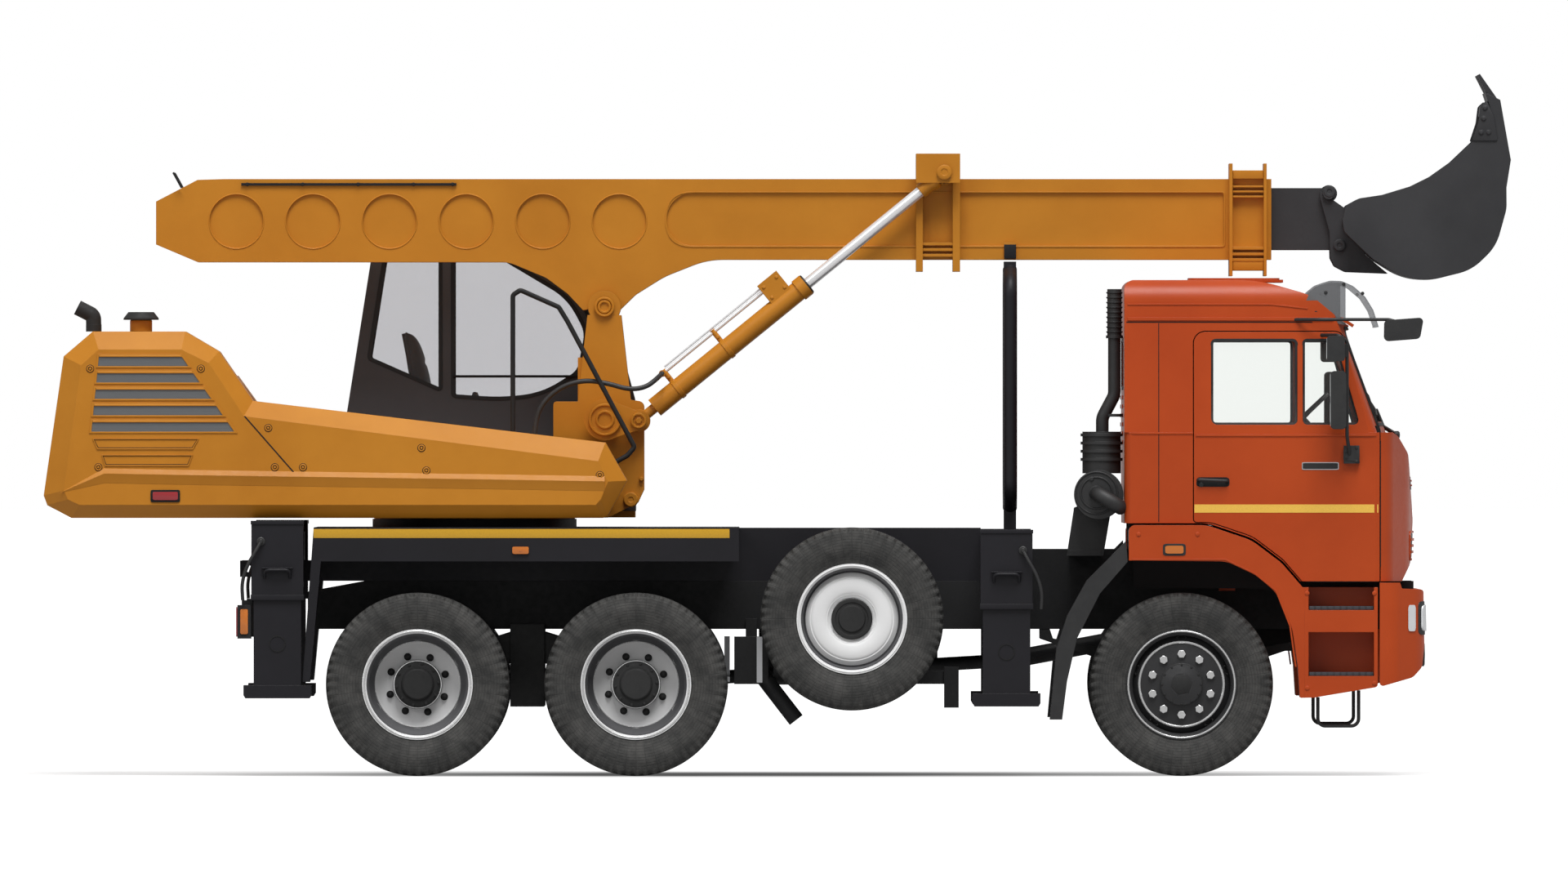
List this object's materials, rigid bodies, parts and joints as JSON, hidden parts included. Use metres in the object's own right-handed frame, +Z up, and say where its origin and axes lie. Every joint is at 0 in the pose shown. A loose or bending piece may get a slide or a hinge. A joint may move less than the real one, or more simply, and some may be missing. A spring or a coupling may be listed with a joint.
{
  "type": "truck-mounted telescopic excavator",
  "caption": "Telescopic-boom excavator on a truck chassis: slewing upper with operator's cab, lifting and sliding boom, bucket, outriggers, steered front axle.",
  "frame": {"origin": "on the ground under the middle of the machine's length and width", "axes": "+X towards the truck's nose, +Y to the driver's left, +Z up"},
  "size_m": [8.98, 2.9, 4.298],
  "materials": {
    "orange_paint": "gloss cab enamel",
    "yellow_paint": "satin machine enamel",
    "black_steel": "satin chassis paint",
    "grey_steel": "worn dark grey paint",
    "tyre_rubber": "matte",
    "rim_grey": "silver grey paint",
    "rim_dark": "dark grey paint",
    "black_plastic": "textured",
    "glass": "clear",
    "smoked": "smoked acrylic",
    "seat_fabric": "woven",
    "rod_chrome": "polished",
    "amber": "lens",
    "hose_rubber": "matte",
    "cast_dark": "painted casting"
  },
  "bodies": {
    "chassis": {"chassis_frame": "black_steel", "deck_and_subframe": "black_steel", "outrigger_beams_and_boom_rest": "black_steel", "axles_and_springs": "cast_dark", "engine_block": "cast_dark", "underbody_tanks_and_shafts": "black_steel", "mudguards_and_foot_loops": "black_plastic", "spare_tyre": "tyre_rubber", "spare_rim": "rim_grey", "cab_shell": "orange_paint", "cab_glass": "glass", "cab_interior": "seat_fabric", "wings_and_steps": "orange_paint", "bumper": "orange_paint", "lamps": "amber", "visor": "smoked", "front_mirror": "black_plastic", "air_intake": "black_plastic"},
    "upper": {"turntable_and_mast": "yellow_paint", "engine_housing": "yellow_paint", "counterweight": "yellow_paint", "operator_cab": "black_steel", "operator_glass": "glass", "operator_seat": "seat_fabric", "exhaust_and_intake": "black_steel", "handrail": "black_steel", "lift_hoses": "hose_rubber"},
    "operator_door": {"operator_door": "black_steel", "operator_door_glass": "glass"},
    "boom": {"boom_outer": "yellow_paint"},
    "inner_boom": {"boom_inner": "grey_steel"},
    "bucket": {"bucket": "grey_steel"},
    "lift_barrel_right": {"lift_barrel_right": "yellow_paint"},
    "lift_rod_right": {"lift_rod_right": "rod_chrome"},
    "cab_door_right": {"cab_door_right": "orange_paint", "cab_door_glass_right": "glass", "mirror_right": "black_plastic"},
    "outrigger_front_right": {"outrigger_leg_front_right": "black_steel"},
    "outrigger_rear_right": {"outrigger_leg_rear_right": "black_steel"},
    "knuckle_right": {"knuckle_right": "cast_dark"},
    "wheel_front_right": {"tyre_front_right": "tyre_rubber", "rim_front_right": "rim_dark"},
    "wheels_mid_right": {"tyres_mid_right": "tyre_rubber", "rims_mid_right": "rim_grey"},
    "wheels_rear_right": {"tyres_rear_right": "tyre_rubber", "rims_rear_right": "rim_grey"},
    "lift_barrel_left": {"lift_barrel_left": "yellow_paint"},
    "lift_rod_left": {"lift_rod_left": "rod_chrome"},
    "cab_door_left": {"cab_door_left": "orange_paint", "cab_door_glass_left": "glass", "mirror_left": "black_plastic"},
    "outrigger_front_left": {"outrigger_leg_front_left": "black_steel"},
    "outrigger_rear_left": {"outrigger_leg_rear_left": "black_steel"},
    "knuckle_left": {"knuckle_left": "cast_dark"},
    "wheel_front_left": {"tyre_front_left": "tyre_rubber", "rim_front_left": "rim_dark"},
    "wheels_mid_left": {"tyres_mid_left": "tyre_rubber", "rims_mid_left": "rim_grey"},
    "wheels_rear_left": {"tyres_rear_left": "tyre_rubber", "rims_rear_left": "rim_grey"}
  },
  "joints": [
    {"name": "slew", "type": "hinge", "parent": "chassis", "child": "upper", "pos_m": [-1.865, 0, 1.57], "axis": [0, 0, 1], "continuous": true},
    {"name": "boom_raise", "type": "hinge", "parent": "upper", "child": "boom", "pos_m": [-1.067, 0, 2.87], "axis": [0, -1, 0], "range_deg": [0, 30]},
    {"name": "telescope", "type": "slide", "parent": "boom", "child": "inner_boom", "axis": [1, 0, 0], "range_m": [0, 3]},
    {"name": "bucket_tilt", "type": "hinge", "parent": "inner_boom", "child": "bucket", "pos_m": [3.3775, 0, 3.566], "axis": [0, -1, 0], "range_deg": [0, 110]},
    {"name": "operator_door_swing", "type": "hinge", "parent": "upper", "child": "operator_door", "pos_m": [-2.048, 1.256, 2.4], "axis": [0, 0, 1], "range_deg": [0, 95]},
    {"name": "lift_swing_right", "type": "hinge", "parent": "upper", "child": "lift_barrel_right", "pos_m": [-0.8565, -0.35, 2.172], "axis": [0, -1, 0], "range_deg": [0, 25.5]},
    {"name": "lift_extend_right", "type": "slide", "parent": "lift_barrel_right", "child": "lift_rod_right", "axis": [0.7758, 0, 0.631], "range_m": [0, 0.32]},
    {"name": "cab_door_swing_right", "type": "hinge", "parent": "chassis", "child": "cab_door_right", "pos_m": [3.669, -1.21, 1.95], "axis": [0, 0, 1], "range_deg": [0, 70]},
    {"name": "outrigger_drop_front_right", "type": "slide", "parent": "chassis", "child": "outrigger_front_right", "axis": [0, 0, -1], "range_m": [0, 0.42]},
    {"name": "outrigger_drop_rear_right", "type": "slide", "parent": "chassis", "child": "outrigger_rear_right", "axis": [0, 0, -1], "range_m": [0, 0.47]},
    {"name": "wheel_spin_front_right", "type": "hinge", "parent": "knuckle_right", "child": "wheel_front_right", "pos_m": [2.465, -1.025, 0.56], "axis": [0, 1, 0], "continuous": true},
    {"name": "wheel_spin_mid_right", "type": "hinge", "parent": "chassis", "child": "wheels_mid_right", "pos_m": [-0.87, -0.935, 0.56], "axis": [0, 1, 0], "continuous": true},
    {"name": "wheel_spin_rear_right", "type": "hinge", "parent": "chassis", "child": "wheels_rear_right", "pos_m": [-2.205, -0.935, 0.56], "axis": [0, 1, 0], "continuous": true},
    {"name": "lift_swing_left", "type": "hinge", "parent": "upper", "child": "lift_barrel_left", "pos_m": [-0.8565, 0.35, 2.172], "axis": [0, -1, 0], "range_deg": [0, 25.5]},
    {"name": "lift_extend_left", "type": "slide", "parent": "lift_barrel_left", "child": "lift_rod_left", "axis": [0.7758, 0, 0.631], "range_m": [0, 0.32]},
    {"name": "cab_door_swing_left", "type": "hinge", "parent": "chassis", "child": "cab_door_left", "pos_m": [3.669, 1.21, 1.95], "axis": [0, 0, -1], "range_deg": [0, 70]},
    {"name": "outrigger_drop_front_left", "type": "slide", "parent": "chassis", "child": "outrigger_front_left", "axis": [0, 0, -1], "range_m": [0, 0.42]},
    {"name": "outrigger_drop_rear_left", "type": "slide", "parent": "chassis", "child": "outrigger_rear_left", "axis": [0, 0, -1], "range_m": [0, 0.47]},
    {"name": "wheel_spin_front_left", "type": "hinge", "parent": "knuckle_left", "child": "wheel_front_left", "pos_m": [2.465, 1.025, 0.56], "axis": [0, 1, 0], "continuous": true},
    {"name": "wheel_spin_mid_left", "type": "hinge", "parent": "chassis", "child": "wheels_mid_left", "pos_m": [-0.87, 0.935, 0.56], "axis": [0, 1, 0], "continuous": true},
    {"name": "wheel_spin_rear_left", "type": "hinge", "parent": "chassis", "child": "wheels_rear_left", "pos_m": [-2.205, 0.935, 0.56], "axis": [0, 1, 0], "continuous": true},
    {"name": "steer_left", "type": "hinge", "parent": "chassis", "child": "knuckle_left", "pos_m": [2.465, 0.845, 0.56], "axis": [0, 0, 1], "range_deg": [-32, 32]},
    {"name": "steer_right", "type": "hinge", "parent": "chassis", "child": "knuckle_right", "pos_m": [2.465, -0.845, 0.56], "axis": [0, 0, 1], "range_deg": [-32, 32]}
  ],
  "couplings": [
    {"joint": "lift_swing_right", "follows": "boom_raise", "ratio": 0.846},
    {"joint": "lift_extend_right", "follows": "boom_raise", "m_per_rad": 0.608},
    {"joint": "lift_swing_left", "follows": "boom_raise", "ratio": 0.846},
    {"joint": "lift_extend_left", "follows": "boom_raise", "m_per_rad": 0.608},
    {"joint": "steer_right", "follows": "steer_left", "ratio": 1}
  ]
}
